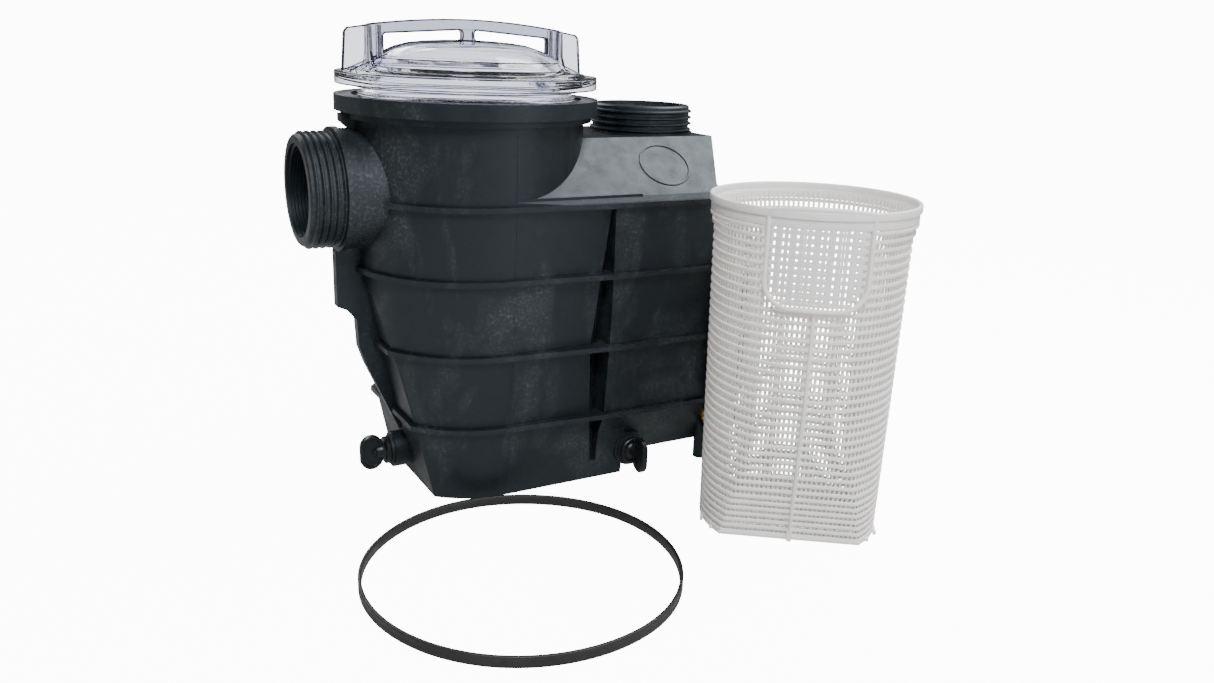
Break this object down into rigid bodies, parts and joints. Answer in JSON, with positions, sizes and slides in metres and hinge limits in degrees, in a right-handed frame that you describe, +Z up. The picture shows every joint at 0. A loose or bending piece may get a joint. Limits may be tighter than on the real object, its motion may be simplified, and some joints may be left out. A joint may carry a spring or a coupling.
{
  "type": "pool pump strainer housing",
  "caption": "Pool pump wet end: threaded strainer and volute housing with clear twist-off cover, lift-out basket, loose gasket band, wing drain plugs, diffuser and impeller.",
  "frame": {"origin": "floor level under the strainer pot's vertical axis", "axes": "+Z up along the pot's axis, -X out of the suction port, +X towards the motor end"},
  "size_m": [0.349, 0.3585, 0.31],
  "materials": {
    "black_plastic": "moulded glass-filled plastic, fine grain with pale flow marks",
    "plug_plastic": "moulded, satin",
    "clear_cover": "clear moulded polycarbonate, faint blue tint",
    "white_plastic": "satin moulded",
    "rubber": "matt",
    "inner_plastic": "moulded",
    "steel": "bright stainless",
    "brass": "turned",
    "ceramic": "lapped ceramic"
  },
  "bodies": {
    "housing": {"strainer_housing": "black_plastic", "suction_port": "black_plastic", "discharge_port": "black_plastic", "bolt_inserts": "brass", "diffuser": "inner_plastic", "diffuser_ring": "rubber", "diffuser_screws": "steel", "impeller_ring": "white_plastic", "seal_seat": "ceramic", "seal_cup": "rubber", "seal_plate": "black_plastic", "housing_bolts": "steel", "housing_washers": "steel"},
    "cover_carrier": {"cover_seal": "rubber"},
    "cover": {"strainer_cover": "clear_cover"},
    "basket": {"strainer_basket": "white_plastic"},
    "gasket": {"housing_gasket": "rubber"},
    "drain_front_carrier": {"drain_plug_front_gasket": "rubber"},
    "drain_front": {"drain_plug_front": "plug_plastic"},
    "drain_side_carrier": {"drain_plug_side_gasket": "rubber"},
    "drain_side": {"drain_plug_side": "plug_plastic"},
    "impeller": {"impeller": "inner_plastic", "impeller_screw": "steel", "seal_head": "rubber", "seal_spring": "steel"}
  },
  "joints": [
    {"name": "cover_lift", "type": "slide", "parent": "housing", "child": "cover_carrier", "axis": [0, 0, 1], "range_m": [-0.0061, 0.08]},
    {"name": "cover_turn", "type": "hinge", "parent": "cover_carrier", "child": "cover", "pos_m": [0, 0, 0.268], "axis": [0, 0, 1], "range_deg": [-45, 0]},
    {"name": "basket_lift", "type": "slide", "parent": "housing", "child": "basket", "axis": [0, 0, 1], "range_m": [0, 0.25]},
    {"name": "gasket_lift", "type": "slide", "parent": "housing", "child": "gasket", "axis": [0, 0, 1], "range_m": [0, 0.085]},
    {"name": "drain_front_travel", "type": "slide", "parent": "housing", "child": "drain_front_carrier", "axis": [-1, 0, 0], "range_m": [0, 0.0085]},
    {"name": "drain_front_turn", "type": "hinge", "parent": "drain_front_carrier", "child": "drain_front", "pos_m": [-0.058, 0, 0.02], "axis": [-1, 0, 0], "range_deg": [0, 2160]},
    {"name": "drain_side_travel", "type": "slide", "parent": "housing", "child": "drain_side_carrier", "axis": [0, -1, 0], "range_m": [0, 0.0085]},
    {"name": "drain_side_turn", "type": "hinge", "parent": "drain_side_carrier", "child": "drain_side", "pos_m": [0.097, -0.067, 0.019], "axis": [0, -1, 0], "range_deg": [0, 2160]},
    {"name": "impeller_spin", "type": "hinge", "parent": "housing", "child": "impeller", "pos_m": [0.11, 0, 0.11], "axis": [1, 0, 0], "continuous": true}
  ],
  "couplings": [
    {"joint": "drain_front_travel", "follows": "drain_front_turn", "m_per_rad": 0.00022457},
    {"joint": "drain_side_travel", "follows": "drain_side_turn", "m_per_rad": 0.00022457}
  ]
}
